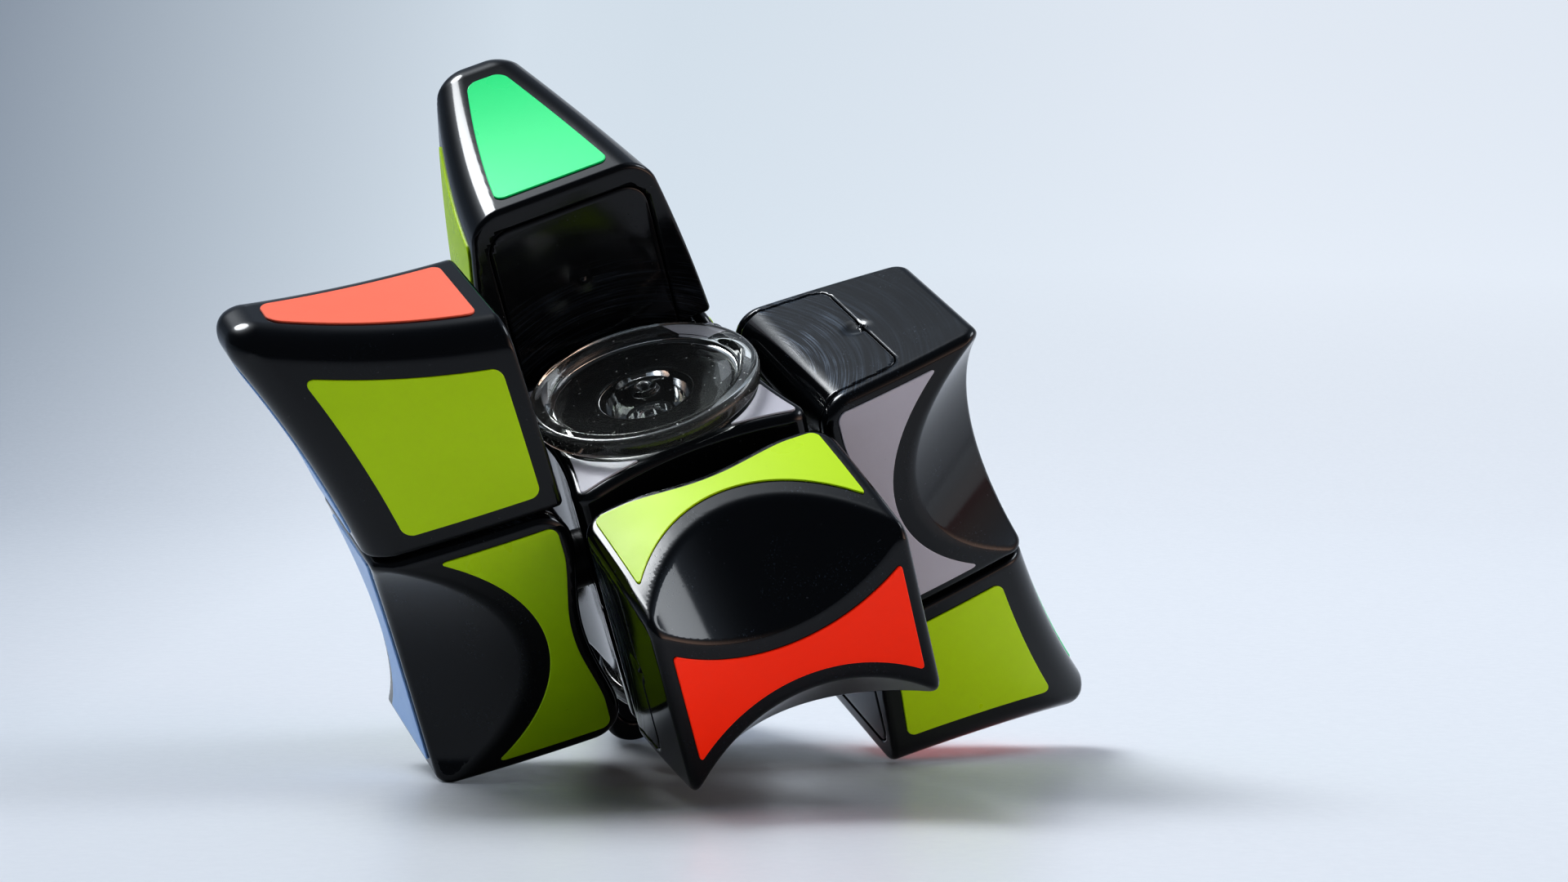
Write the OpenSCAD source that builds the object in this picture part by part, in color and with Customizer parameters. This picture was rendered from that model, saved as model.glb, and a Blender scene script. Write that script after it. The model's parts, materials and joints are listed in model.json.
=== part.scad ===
// Spinner twisty puzzle, 3 x 3 x 1: a centre block with a finger bearing, four turning edges, four corners.
// It is drawn scrambled: three sides are turned a quarter, and it stands on three of its corners.
// The puzzle's own frame has +Z along the spinner axis and +X, +Y through the right and back edges.

/* [Puzzle] */
// Distance between the centres of neighbouring pieces
pitch = 23; // [22:0.1:25]
// Gap between neighbouring pieces
piece_gap = 0.3; // [0.2:0.05:0.5]
// Thickness at the middle of the flat puzzle
middle_thickness = 23.4; // [23:0.1:25]
// Radius of the two domed main faces
dome_radius = 135; // [125:1:200]
// Distance from the centre to the middle of a concave outer side
outer_side = 27.3; // [26.8:0.1:28]
// Radius of the concave outer sides
side_radius = 84; // [80:1:100]
// Radius of the circle that the four corner tips lie on
tip_radius = 46.2; // [45:0.1:47]

/* [Finger scoops and notches] */
// Distance from the centre to the deepest reach of a scoop on the main face
scoop_reach = 18.3; // [17:0.1:19]
// Height left between the two scoops at the middle of an edge's outer side
scoop_waist = 6.2; // [5.6:0.1:7]
// Radius of the notch in each edge that clears the finger caps
notch_radius = 12.8; // [12.4:0.1:13]

/* [Centre] */
// Distance from the centre to the middle of the star's hollow sides
star_waist = 9.5; // [9.3:0.1:9.8]
// Radius of the circle that the star's four noses lie on
star_tip_radius = 15.2; // [14.6:0.1:15.6]
// Height by which the centre block stands above the domes of the other pieces
centre_raise = 0.6; // [0:0.1:0.8]
// Radius of the turning posts that carry the edges
post_radius = 2.5; // [2.2:0.1:2.8]
// Running clearance round each post
post_clearance = 0.06; // [0.03:0.01:0.1]

/* [Finger caps] */
// Radius of the clear caps
cap_radius = 10.1; // [9.8:0.1:10.8]
// Height of the cap's rim
cap_height = 1.8; // [1.7:0.1:2.2]
// Height of the cap's underside above the middle of the puzzle
cap_base = 12.4; // [12.35:0.05:12.6]
// Radius of the cap's stem
stem_radius = 4; // [3.8:0.1:4.2]

/* [Bearing] */
// Bore diameter
bearing_bore = 6.35; // [6.35]
// Outer diameter
bearing_outer = 12.7; // [12.7]
// Width
bearing_width = 4.762; // [4.762]
// Ball diameter
ball_d = 1.588; // [1.588]
// Number of balls
ball_count = 10; // [8:1:10]

/* [Stickers] */
// Thickness of a sticker
sticker_t = 0.15; // [0.12:0.01:0.2]
// Black border left along the inner faces of a corner
sticker_border = 1.6; // [1.2:0.1:1.8]
// Black border left round an edge piece's stickers
edge_border = 1.2; // [1:0.1:1.6]
// Border left along the outer sides of a corner's main face
corner_face_border = 3.5; // [2:0.1:4]
// Border left along the main faces on a corner's outer sides
corner_side_border = 2.6; // [1.6:0.1:3]

/* [Stance] */
// Turn of the standing puzzle on the table
heading = 20; // [0:1:360]

/* [Hidden] */
$fn = 96;

// Colours, as red, green and blue shares
BLACK = [0.08, 0.085, 0.1];
LIME = [0.66, 0.85, 0.02];
WHITE = [0.86, 0.88, 0.93];
RED = [0.95, 0.16, 0.02];
ORANGE = [1, 0.52, 0.42];
GREEN = [0.1, 0.92, 0.5];
BLUE = [0.1, 0.3, 0.85];
CLEAR = [0.8, 0.84, 0.86, 0.4];
STEEL = [0.72, 0.73, 0.75];

// Each side of the puzzle: where it sits round the centre, and how far it is turned
LEFT = 0;
FRONT = 1;
RIGHT = 2;
BACK = 3;
SLOT = [180, -90, 0, 90];
TWIST = [90, 0, 90, 90];
UPPER = 1;
LOWER = -1;

// Finer steps for the large radii, so that thin stickers follow them
big_fn = 300;
eps = 0.01;
far = 60;
inner = (pitch + piece_gap) / 2;
half_w = (pitch - piece_gap) / 2;

// Half thickness of the puzzle at a distance r from its centre, and the outer side's place at u along it
function half_at(r) = middle_thickness / 2 - dome_radius + sqrt(dome_radius * dome_radius - r * r);
function side_at(u) = outer_side + side_radius - sqrt(side_radius * side_radius - u * u);

// Where an outer side meets the tip circle
side_centre = outer_side + side_radius;
tip_far = (tip_radius * tip_radius - side_radius * side_radius + side_centre * side_centre) / (2 * side_centre);
tip_near = sqrt(tip_radius * tip_radius - tip_far * tip_far);

// A scoop is a tilted cylinder through the edge's two outer corners, its reach and its waist
scoop_top = half_at(scoop_reach);
scoop_tilt = atan2(scoop_top - scoop_waist / 2, outer_side - scoop_reach);
corner_x = side_at(half_w);
corner_z = half_at(norm([corner_x, half_w]));
scoop_sag = (corner_x - scoop_reach) * sin(scoop_tilt) + (corner_z - scoop_top) * cos(scoop_tilt);
scoop_r = (half_w * half_w + scoop_sag * scoop_sag) / (2 * scoop_sag);
scoop_inset = 1.1;

// Hollow side of the star outline of the centre block
star_sag = half_w - star_waist;
star_r = (half_w * half_w + star_sag * star_sag) / (2 * star_sag);

// Bearing pocket, stem hole and the space that clears the bearing's moving rings
bearing_r = bearing_outer / 2;
race_r = (bearing_bore + bearing_outer) / 4;
ring_t = 1;
spider_r = 8.6;
ring_clearance_r = 5.5;
ring_clearance_h = 3;
stem_clearance = 0.45;
socket_r = 2.2;
socket_top = 7.5;
race_clearance = 0.03;

// Turning posts, edge feet and their screws, from the centre outwards
foot_x = 15.6;
foot_end_x = 20.2;
foot_z = 9.4;
foot_end_z = 8.5;
foot_chamfer = 0.9;
flange_t = 1.2;
post_end = 15;
screw_r = 1;
screw_start = 9.4;
head_r = 2.3;
head_t = 1.6;
washer_x = foot_x + 0.05;
washer_t = 0.4;
washer_r = 3.2;
spring_x = washer_x + washer_t;
spring_length = 3.6;
head_x = spring_x + spring_length;
spring_r = 1.75;
spring_wire = 0.4;
spring_turns = 4;

// Hollows, covers and magnets
cavity_end_x = 22.5;
cavity_y = 8.4;
cavity_z = 5.4;
magnet_r = 2.1;
magnet_t = 1.5;
magnet_x = 17.75;
cover_t = 1.2;
cover_to = 26.2;
cover_z = 7.45;
cover_corner = 2.2;
corner_cavity = [14.6, 24];
corner_cavity_z = 5;

// Finger cap profile
rim_w = 1.8;
dish_floor = 0.85;
button_r = 1.3;
button_h = 0.3;
rim_round = 0.65;

// Places of the pieces: turn about Z by the slot and about X by the twist
function spin_z(p, a) = [p.x * cos(a) - p.y * sin(a), p.x * sin(a) + p.y * cos(a), p.z];
function spin_x(p, a) = [p.x, p.y * cos(a) - p.z * sin(a), p.y * sin(a) + p.z * cos(a)];
function in_puzzle(row, p) = spin_z(spin_x(p, TWIST[row]), SLOT[row]);
function on_dome(x, y, side) = [x, y, side * half_at(norm([x, y]))];

// The three points that the puzzle stands on, and the upward direction that they give
foot_points = [in_puzzle(LEFT, on_dome(corner_x, -half_w, -1)),
    in_puzzle(RIGHT, on_dome(inner, -side_at(inner), 1)),
    in_puzzle(BACK, on_dome(inner, -side_at(inner), -1))];
up_raw = cross(foot_points[1] - foot_points[0], foot_points[2] - foot_points[0]);
up = up_raw / norm(up_raw);
lean = acos(up.z);
lean_axis = [up.y, -up.x, 0] / norm([up.y, -up.x]);
function lean_turn(p) = p * cos(lean) + cross(lean_axis, p) * sin(lean)
    + lean_axis * (lean_axis * p) * (1 - cos(lean));
function stood(p) = spin_z(lean_turn(p), heading);

// Outline points of the turned pieces, which give the middle of the standing puzzle's floor area
edge_points = [for (x = [inner, corner_x], y = [-half_w, half_w], s = [-1, 1]) on_dome(x, y, s)];
corner_outline = [[inner, inner], [inner, side_at(inner)], [side_at(inner), inner],
    [tip_near, tip_far], [tip_far, tip_near]];
function corner_points(lateral) =
    [for (p = corner_outline, s = [-1, 1]) on_dome(p.x, lateral * p.y, s)];
all_points = concat(
    [for (row = [LEFT, FRONT, RIGHT, BACK], p = edge_points) stood(in_puzzle(row, p))],
    [for (p = corner_points(UPPER)) stood(in_puzzle(LEFT, p))],
    [for (p = corner_points(LOWER)) stood(in_puzzle(RIGHT, p))],
    [for (lateral = [UPPER, LOWER], p = corner_points(lateral)) stood(in_puzzle(BACK, p))]);
function middle(values) = (min(values) + max(values)) / 2;
stand_x = middle([for (p = all_points) p.x]);
stand_y = middle([for (p = all_points) p.y]);
floor_z = stood(foot_points[0]).z;

module stand() {
    translate([-stand_x, -stand_y, -floor_z])
        rotate([0, 0, heading])
            rotate(a = lean, v = lean_axis)
                children();
}

module in_row(row) {
    stand() rotate([0, 0, SLOT[row]]) rotate([TWIST[row], 0, 0]) children();
}

// A corner piece is drawn in the +X +Y quarter, and mirrored for the lower end of its side
module at_end(lateral) {
    mirror([0, lateral == LOWER ? 1 : 0, 0]) children();
}

// Solid between the two domes, which can be moved inwards by an inset
module lens(inset = 0) {
    dome_z = middle_thickness / 2 - dome_radius - inset;
    intersection() {
        translate([0, 0, dome_z]) sphere(r = dome_radius, $fn = big_fn);
        translate([0, 0, -dome_z]) sphere(r = dome_radius, $fn = big_fn);
    }
}

// Skin that a sticker is cut from, on the upper or lower main face
module face_skin(side, raise = 0) {
    dome_z = side * (middle_thickness / 2 - dome_radius + raise);
    intersection() {
        translate([0, 0, dome_z])
            difference() {
                sphere(r = dome_radius + sticker_t, $fn = big_fn);
                sphere(r = dome_radius, $fn = big_fn);
            }
        translate([-far, -far, side > 0 ? 0 : -far]) cube([2 * far, 2 * far, far]);
    }
}

// Cylinder whose near wall is a concave outer side, shown for the +X side
module side_cutter(inset = 0) {
    translate([side_centre, 0, 0]) cylinder(h = far, r = side_radius + inset, center = true, $fn = big_fn);
}

module scoop_cutter(grow = 0) {
    translate([scoop_reach + scoop_r * sin(scoop_tilt), 0, scoop_top + scoop_r * cos(scoop_tilt)])
        rotate([0, 90 + scoop_tilt, 0])
            cylinder(h = 2 * far, r = scoop_r + grow, center = true);
}

module both_scoops(grow = 0) {
    scoop_cutter(grow);
    mirror([0, 0, 1]) scoop_cutter(grow);
}

// Plate standing on the +Y side of the XZ plane, with its two far corners rounded
module upright_plate(x0, x1, half_z, thick, corner) {
    rotate([90, 0, 0])
        translate([0, 0, -thick])
            linear_extrude(thick) {
                translate([x0, -half_z]) square([x1 - x0 - corner, 2 * half_z]);
                translate([x0, corner - half_z]) square([x1 - x0, 2 * half_z - 2 * corner]);
                for (z = [corner - half_z, half_z - corner])
                    translate([x1 - corner, z]) circle(r = corner);
            }
}

// ---- Centre ----

module star_block() {
    intersection() {
        lens(-centre_raise);
        cylinder(h = far, r = star_tip_radius, center = true);
        difference() {
            cube([2 * half_w, 2 * half_w, far], center = true);
            for (a = [0:90:270])
                rotate([0, 0, a])
                    translate([star_waist + star_r, 0, 0]) cylinder(h = far, r = star_r, center = true);
        }
    }
}

module core_upper_shell() {
    color(BLACK)
        difference() {
            star_block();
            translate([-far, -far, -2 * far]) cube(2 * far);
            translate([0, 0, -1]) cylinder(h = 1 + bearing_width / 2, r = spider_r);
            translate([0, 0, -1]) cylinder(h = 1 + ring_clearance_h, r = ring_clearance_r);
            cylinder(h = far, r = stem_radius + stem_clearance);
            for (a = [0:90:270])
                rotate([0, 90, a]) cylinder(h = far, r = post_radius);
        }
}

module core_lower_shell() {
    mirror([0, 0, 1]) core_upper_shell();
}

module core_spider() {
    color(BLACK)
        difference() {
            union() {
                cylinder(h = bearing_width, r = spider_r, center = true);
                for (a = [0:90:270])
                    rotate([0, 90, a]) cylinder(h = post_end, r = post_radius);
            }
            cylinder(h = far, r = bearing_r, center = true);
            for (a = [0:90:270])
                rotate([0, 90, a])
                    translate([0, 0, screw_start]) cylinder(h = far, r = screw_r);
        }
}

module edge_screws() {
    color(STEEL)
        for (a = [0:90:270])
            rotate([0, 90, a])
                difference() {
                    union() {
                        translate([0, 0, screw_start]) cylinder(h = head_x - screw_start, r = screw_r);
                        translate([0, 0, head_x]) cylinder(h = head_t, r = head_r);
                    }
                    translate([-head_r, -0.3, head_x + head_t - 0.7]) cube([2 * head_r, 0.6, 1]);
                    translate([-0.3, -head_r, head_x + head_t - 0.7]) cube([0.6, 2 * head_r, 1]);
                }
}

// Coil spring as a tube swept along a helix
module spring() {
    sides = 6;
    steps = spring_turns * 12;
    rise = spring_length - spring_wire - 0.1;
    function ring_point(i, j) = let (
        a = 360 * spring_turns * i / steps,
        b = 360 * j / sides,
        r = spring_r + spring_wire / 2 * cos(b)
    ) [r * cos(a), r * sin(a), 0.05 + spring_wire / 2 + rise * i / steps + spring_wire / 2 * sin(b)];
    rings = [for (i = [0:steps], j = [0:sides - 1]) ring_point(i, j)];
    walls = [for (i = [0:steps - 1], j = [0:sides - 1])
        let (k = (j + 1) % sides)
            [i * sides + j, (i + 1) * sides + j, (i + 1) * sides + k, i * sides + k]];
    polyhedron(
        points = rings,
        faces = concat(
            [[for (j = [0:sides - 1]) j]],
            walls,
            [[for (j = [sides - 1:-1:0]) steps * sides + j]]
        )
    );
}

module edge_springs() {
    color(STEEL)
        for (a = [0:90:270])
            rotate([0, 90, a]) translate([0, 0, spring_x]) spring();
}

module spring_washers() {
    color(STEEL)
        for (a = [0:90:270])
            rotate([0, 90, a])
                translate([0, 0, washer_x])
                    difference() {
                        cylinder(h = washer_t, r = washer_r);
                        translate([0, 0, -1]) cylinder(h = 3, r = screw_r + 0.1);
                    }
}

// Four curved triangles on the noses of the star, which reach a little way under the finger cap
module centre_stickers(side) {
    intersection() {
        face_skin(side, centre_raise);
        difference() {
            cylinder(h = far, r = star_tip_radius - 1.3, center = true, $fn = big_fn);
            cylinder(h = 2 * far, r = cap_radius - 0.4, center = true, $fn = big_fn);
            for (a = [0:90:270])
                rotate([0, 0, a])
                    translate([star_waist + star_r, 0, 0])
                        cylinder(h = 2 * far, r = star_r + 0.9, center = true, $fn = big_fn);
        }
    }
}

// ---- Spinner ----

module cap_profile() {
    rim_arc = [for (a = [0:15:90])
        [cap_radius - rim_round + rim_round * cos(a), cap_height - rim_round + rim_round * sin(a)]];
    inner_arc = [for (a = [90:15:180])
        [cap_radius - rim_w + rim_round + rim_round * cos(a), cap_height - rim_round + rim_round * sin(a)]];
    foot_arc = [for (a = [-90:15:0])
        [cap_radius - rim_round + rim_round * cos(a), rim_round + rim_round * sin(a)]];
    polygon(concat(
        [[0, 0]],
        foot_arc,
        rim_arc,
        inner_arc,
        [[cap_radius - rim_w, dish_floor + 0.1], [cap_radius - rim_w - 1, dish_floor],
            [button_r + 0.3, dish_floor - 0.15], [button_r, dish_floor + button_h], [0, dish_floor + button_h]]
    ));
}

module cap_body() {
    translate([0, 0, cap_base]) rotate_extrude() cap_profile();
    translate([0, 0, bearing_width / 2]) cylinder(h = cap_base - bearing_width / 2 + eps, r = stem_radius);
    translate([0, 0, eps]) cylinder(h = bearing_width / 2, r = bearing_bore / 2);
}

module upper_cap() {
    color(CLEAR)
        difference() {
            cap_body();
            translate([0, 0, -1]) cylinder(h = socket_top + 1, r = socket_r);
        }
}

module lower_cap() {
    color(CLEAR) {
        mirror([0, 0, 1]) cap_body();
        translate([0, 0, -1]) cylinder(h = socket_top + 0.8, r = socket_r);
    }
}

module race_groove() {
    rotate_extrude() translate([race_r, 0]) circle(r = ball_d / 2 + race_clearance);
}

module bearing_outer_ring() {
    color(STEEL)
        difference() {
            cylinder(h = bearing_width, r = bearing_r, center = true);
            cylinder(h = far, r = bearing_r - ring_t, center = true);
            race_groove();
        }
}

module bearing_inner_ring() {
    color(STEEL)
        difference() {
            cylinder(h = bearing_width, r = bearing_bore / 2 + ring_t, center = true);
            cylinder(h = far, r = bearing_bore / 2, center = true);
            race_groove();
        }
}

module bearing_balls() {
    color(STEEL)
        for (i = [0:ball_count - 1])
            rotate([0, 0, i * 360 / ball_count]) translate([race_r, 0, 0]) sphere(r = ball_d / 2, $fn = 32);
}

module bearing_cage() {
    color("peru")
        difference() {
            cylinder(h = 2.4, r = race_r + 0.4, center = true);
            cylinder(h = far, r = race_r - 0.4, center = true);
            for (i = [0:ball_count - 1])
                rotate([0, 90, i * 360 / ball_count]) cylinder(h = far, r = ball_d / 2 + race_clearance, $fn = 32);
        }
}

// ---- Edges, drawn flat on the +X side ----

module edge_block() {
    intersection() {
        lens();
        difference() {
            translate([inner, -half_w, -far]) cube([far, 2 * half_w, 2 * far]);
            side_cutter();
            cylinder(h = 3 * far, r = notch_radius, center = true);
            both_scoops();
        }
    }
}

// Base and two flanges of the foot, which shows as the inner half of the edge's end faces
module foot_space() {
    translate([inner, -half_w, -foot_z]) cube([foot_x - inner, 2 * half_w, 2 * foot_z]);
    for (y = [-half_w, half_w - flange_t])
        translate([0, y + flange_t, 0])
            rotate([90, 0, 0])
                linear_extrude(flange_t)
                    polygon([[inner, -foot_z], [foot_end_x - foot_chamfer, -foot_end_z],
                        [foot_end_x, foot_chamfer - foot_end_z], [foot_end_x, foot_end_z - foot_chamfer],
                        [foot_end_x - foot_chamfer, foot_end_z], [inner, foot_z]]);
}

module edge_shell() {
    color(BLACK)
        difference() {
            edge_block();
            foot_space();
            translate([inner, -cavity_y, -cavity_z])
                cube([cavity_end_x - inner, 2 * cavity_y, 2 * cavity_z]);
            for (y = [-1, 1]) edge_magnet(y);
        }
}

module edge_foot() {
    color(BLACK)
        difference() {
            foot_space();
            cylinder(h = far, r = notch_radius, center = true);
            rotate([0, 90, 0]) cylinder(h = far, r = post_radius + post_clearance);
        }
}

module edge_magnet(y) {
    translate([magnet_x, y * (half_w - flange_t - magnet_t / 2), 0])
        rotate([90, 0, 0]) cylinder(h = magnet_t, r = magnet_r, center = true);
}

module edge_magnets() {
    color(STEEL) for (y = [-1, 1]) edge_magnet(y);
}

module edge_face_sticker(side) {
    intersection() {
        face_skin(side);
        difference() {
            translate([inner + edge_border, edge_border - half_w, -far])
                cube([corner_x - inner - 2 * edge_border, 2 * (half_w - edge_border), 2 * far]);
            cylinder(h = 3 * far, r = notch_radius + edge_border, center = true);
            both_scoops(scoop_inset);
        }
    }
}

// Stickers on an outer side are cut from a skin on the hollow cylinder
module side_skin() {
    difference() {
        side_cutter();
        side_cutter(-sticker_t);
    }
}

module edge_side_sticker(paint) {
    color(paint)
        intersection() {
            side_skin();
            difference() {
                translate([inner, edge_border - half_w, edge_border - corner_z])
                    cube([far, 2 * (half_w - edge_border), 2 * (corner_z - edge_border)]);
                both_scoops(scoop_inset);
            }
        }
}

// ---- Corners, drawn flat in the +X +Y quarter ----

module corner_block() {
    intersection() {
        lens();
        cylinder(h = far, r = tip_radius, center = true);
        difference() {
            translate([inner, inner, -far]) cube([far, far, 2 * far]);
            side_cutter();
            rotate([0, 0, 90]) side_cutter();
        }
    }
}

module corner_magnet() {
    translate([magnet_x, inner + cover_t + magnet_t / 2, 0])
        rotate([90, 0, 0]) cylinder(h = magnet_t, r = magnet_r, center = true);
}

// Draws a thing on both inner faces of a corner, the second by mirroring it across the diagonal
module on_both_inner_faces() {
    children();
    mirror([1, -1, 0]) children();
}

// Space of the angled cover that wraps both inner faces
module cover_space() {
    on_both_inner_faces()
        translate([0, inner, 0]) upright_plate(inner, cover_to, cover_z, cover_t, cover_corner);
}

module corner_shell() {
    color(BLACK)
        difference() {
            corner_block();
            translate([corner_cavity[0], corner_cavity[0], -corner_cavity_z])
                cube([corner_cavity[1] - corner_cavity[0], corner_cavity[1] - corner_cavity[0],
                    2 * corner_cavity_z]);
            cover_space();
            on_both_inner_faces() corner_magnet();
        }
}

module corner_cover() {
    color(BLACK) cover_space();
}

module corner_magnets() {
    color(STEEL) on_both_inner_faces() corner_magnet();
}

module corner_face_sticker(side) {
    intersection() {
        face_skin(side);
        difference() {
            translate([inner + sticker_border, inner + sticker_border, -far]) cube([far, far, 2 * far]);
            side_cutter(corner_face_border);
            rotate([0, 0, 90]) side_cutter(corner_face_border);
        }
    }
}

// Sticker on the outer side that faces +X
module corner_side_sticker(paint) {
    color(paint)
        intersection() {
            side_skin();
            translate([0, inner + sticker_border, -far])
                cube([far, tip_near - inner - sticker_border - corner_side_border, 2 * far]);
            lens(corner_side_border);
        }
}

// Sticker on the outer side that faces +Y
module corner_end_sticker(paint) {
    mirror([1, -1, 0]) corner_side_sticker(paint);
}

stand() core_upper_shell();
stand() core_lower_shell();
stand() core_spider();
stand() bearing_outer_ring();
stand() edge_screws();
stand() edge_springs();
stand() spring_washers();
stand() color(WHITE) centre_stickers(UPPER);  // centre_white_stickers
stand() color(LIME) centre_stickers(LOWER);  // centre_lime_stickers
stand() upper_cap();
stand() lower_cap();
stand() bearing_inner_ring();
stand() bearing_balls();
stand() bearing_cage();

in_row(LEFT) edge_shell();  // left_edge_shell
in_row(LEFT) edge_foot();  // left_edge_foot
in_row(LEFT) edge_side_sticker(BLUE);  // left_edge_side_sticker
in_row(FRONT) edge_shell();  // front_edge_shell
in_row(FRONT) edge_foot();  // front_edge_foot
in_row(FRONT) edge_side_sticker(RED);  // front_edge_side_sticker
in_row(RIGHT) edge_shell();  // right_edge_shell
in_row(RIGHT) edge_foot();  // right_edge_foot
in_row(RIGHT) edge_side_sticker(GREEN);  // right_edge_side_sticker
in_row(BACK) edge_shell();  // back_edge_shell
in_row(BACK) edge_foot();  // back_edge_foot
in_row(BACK) edge_side_sticker(ORANGE);  // back_edge_side_sticker

in_row(LEFT) {  // left_row_magnets
    edge_magnets();
    at_end(UPPER) corner_magnets();
}
in_row(FRONT) edge_magnets();  // front_edge_magnets
in_row(RIGHT) {  // right_row_magnets
    edge_magnets();
    at_end(LOWER) corner_magnets();
}
in_row(BACK) {  // back_row_magnets
    edge_magnets();
    at_end(UPPER) corner_magnets();
    at_end(LOWER) corner_magnets();
}

in_row(LEFT) color(LIME) {  // left_row_lime_stickers
    edge_face_sticker(LOWER);
    at_end(UPPER) corner_face_sticker(LOWER);
}
in_row(LEFT) color(WHITE) {  // left_row_white_stickers
    edge_face_sticker(UPPER);
    at_end(UPPER) corner_face_sticker(UPPER);
}
in_row(FRONT) color(LIME) edge_face_sticker(UPPER);  // front_edge_lime_sticker
in_row(FRONT) color(WHITE) edge_face_sticker(LOWER);  // front_edge_white_sticker
in_row(RIGHT) color(LIME) {  // right_row_lime_stickers
    edge_face_sticker(LOWER);
    at_end(LOWER) corner_face_sticker(UPPER);
}
in_row(RIGHT) color(WHITE) {  // right_row_white_stickers
    edge_face_sticker(UPPER);
    at_end(LOWER) corner_face_sticker(LOWER);
}
in_row(BACK) color(LIME) {  // back_row_lime_stickers
    edge_face_sticker(UPPER);
    at_end(UPPER) corner_face_sticker(LOWER);
    at_end(LOWER) corner_face_sticker(LOWER);
}
in_row(BACK) color(WHITE) {  // back_row_white_stickers
    edge_face_sticker(LOWER);
    at_end(UPPER) corner_face_sticker(UPPER);
    at_end(LOWER) corner_face_sticker(UPPER);
}

in_row(LEFT) at_end(UPPER) corner_shell();  // left_corner_shell
in_row(LEFT) at_end(UPPER) corner_cover();  // left_corner_cover
in_row(LEFT) at_end(UPPER) corner_end_sticker(ORANGE);  // left_corner_end_sticker
in_row(LEFT) at_end(UPPER) corner_side_sticker(BLUE);  // left_corner_side_sticker
in_row(RIGHT) at_end(LOWER) corner_shell();  // right_corner_shell
in_row(RIGHT) at_end(LOWER) corner_cover();  // right_corner_cover
in_row(RIGHT) at_end(LOWER) corner_end_sticker(RED);  // right_corner_end_sticker
in_row(RIGHT) at_end(LOWER) corner_side_sticker(GREEN);  // right_corner_side_sticker
in_row(BACK) at_end(UPPER) corner_shell();  // upper_back_corner_shell
in_row(BACK) at_end(UPPER) corner_cover();  // upper_back_corner_cover
in_row(BACK) at_end(UPPER) corner_end_sticker(GREEN);  // upper_back_corner_end_sticker
in_row(BACK) at_end(UPPER) corner_side_sticker(RED);  // upper_back_corner_side_sticker
in_row(BACK) at_end(LOWER) corner_shell();  // lower_back_corner_shell
in_row(BACK) at_end(LOWER) corner_cover();  // lower_back_corner_cover
in_row(BACK) at_end(LOWER) corner_end_sticker(BLUE);  // lower_back_corner_end_sticker
in_row(BACK) at_end(LOWER) corner_side_sticker(ORANGE);  // lower_back_corner_side_sticker
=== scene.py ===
# Spinner twisty puzzle, one layer of three by three pieces, standing scrambled on three of its corners.
import json
import math
import bpy
import numpy as np
from mathutils import Matrix, Quaternion, Vector
from mathutils.geometry import delaunay_2d_cdt


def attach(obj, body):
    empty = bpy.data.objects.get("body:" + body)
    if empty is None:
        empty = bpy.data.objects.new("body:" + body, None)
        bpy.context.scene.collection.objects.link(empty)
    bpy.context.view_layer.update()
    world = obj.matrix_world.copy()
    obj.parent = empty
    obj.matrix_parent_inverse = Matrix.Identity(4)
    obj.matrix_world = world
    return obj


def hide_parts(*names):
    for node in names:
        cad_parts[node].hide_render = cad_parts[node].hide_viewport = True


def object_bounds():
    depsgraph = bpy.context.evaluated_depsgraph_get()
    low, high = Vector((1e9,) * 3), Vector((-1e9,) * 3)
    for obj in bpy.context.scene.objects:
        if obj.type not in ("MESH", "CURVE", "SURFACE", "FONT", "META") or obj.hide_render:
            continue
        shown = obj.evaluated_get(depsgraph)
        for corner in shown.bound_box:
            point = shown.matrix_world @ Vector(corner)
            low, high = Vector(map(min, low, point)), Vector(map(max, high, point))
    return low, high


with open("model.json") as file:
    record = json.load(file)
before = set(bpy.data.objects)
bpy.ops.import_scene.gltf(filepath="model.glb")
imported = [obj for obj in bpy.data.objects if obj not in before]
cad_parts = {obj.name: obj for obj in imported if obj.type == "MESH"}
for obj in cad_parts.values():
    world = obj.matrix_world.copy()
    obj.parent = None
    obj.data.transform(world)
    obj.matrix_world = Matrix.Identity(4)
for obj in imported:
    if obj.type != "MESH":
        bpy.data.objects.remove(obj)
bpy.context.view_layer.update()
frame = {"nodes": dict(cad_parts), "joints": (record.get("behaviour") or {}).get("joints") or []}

MM = 0.001

# Camera, in degrees and metres
AZIMUTH = -0.067
ELEVATION = 2.202
ROLL = 0.912
DISTANCE = 0.32262
AIM = Vector((0.009115, 0, 0.029532))
LENS = 83.19

# Sizes of the puzzle in millimetres, as in the CAD model
INNER = 11.65
HALF_W = 11.35
HALF_T = 11.7
DOME_R = 135
SIDE_AT = 27.3
SIDE_R = 84
TIP_R = 46.2
SCOOP_REACH = 18.3
SCOOP_HALF_WAIST = 3.1
SCOOP_INSET = 1.1
NOTCH_R = 12.8
STAR_WAIST = 9.5
STAR_TIP_R = 15.2
POST_R = 2.5
CENTRE_RAISE = 0.6
CAP_R = 10.1
CAP_H = 1.8
CAP_BASE = 12.4
STEM_R = 4
BORE_R = 3.175
BEARING_HALF = 2.381
SOCKET_R = 2.2
SOCKET_TOP = 7.5
SPIDER_R = 8.6
RING_CLEARANCE_R = 5.5
RING_CLEARANCE_H = 3
STEM_CLEARANCE = 0.45
FOOT_X = 15.6
FOOT_END_X = 20.2
FOOT_Z = 9.4
FOOT_END_Z = 8.5
FOOT_CHAMFER = 0.9
FLANGE_T = 1.2
COVER_TO = 26.2
COVER_Z = 7.45
COVER_R = 2.2
COVER_T = 1.2
EDGE_CAVITY = (22.5, 8.4, 5.4)
CORNER_CAVITY = (14.6, 24, 5)
MAGNET_X = 17.75
MAGNET_R = 2.1
MAGNET_T = 1.5
STICKER_T = 0.15
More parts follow.
